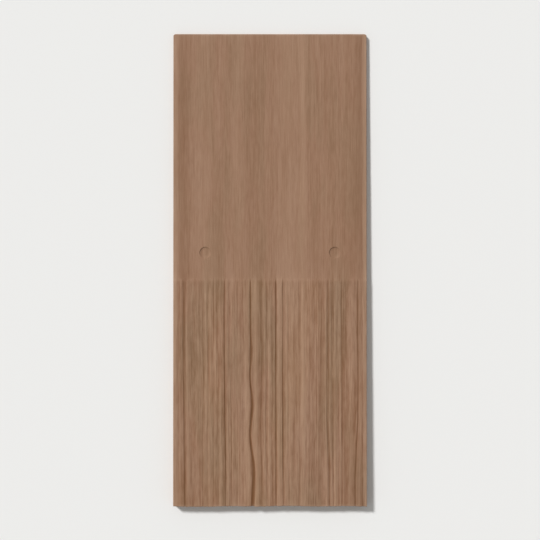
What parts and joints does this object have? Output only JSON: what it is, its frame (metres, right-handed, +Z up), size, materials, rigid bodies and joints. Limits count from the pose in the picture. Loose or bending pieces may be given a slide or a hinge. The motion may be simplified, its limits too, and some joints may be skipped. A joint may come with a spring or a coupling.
{
  "type": "synthetic shake shingle",
  "caption": "Tapered moulded roof shingle with a split-cedar grained weather face, a plain lap, nail seats and a cored, ribbed back.",
  "frame": {"origin": "centre of the outline seen from above, on the plane that the rim and ribs of the back rest on", "axes": "+X across the shingle, +Y up the slope from the thick butt to the thin head, +Z up out of the weather face"},
  "size_m": [0.229, 0.559, 0.016],
  "materials": {
    "moulded_composite": "matte"
  },
  "bodies": {
    "root": {"shake_tile": "moulded_composite"}
  },
  "joints": []
}
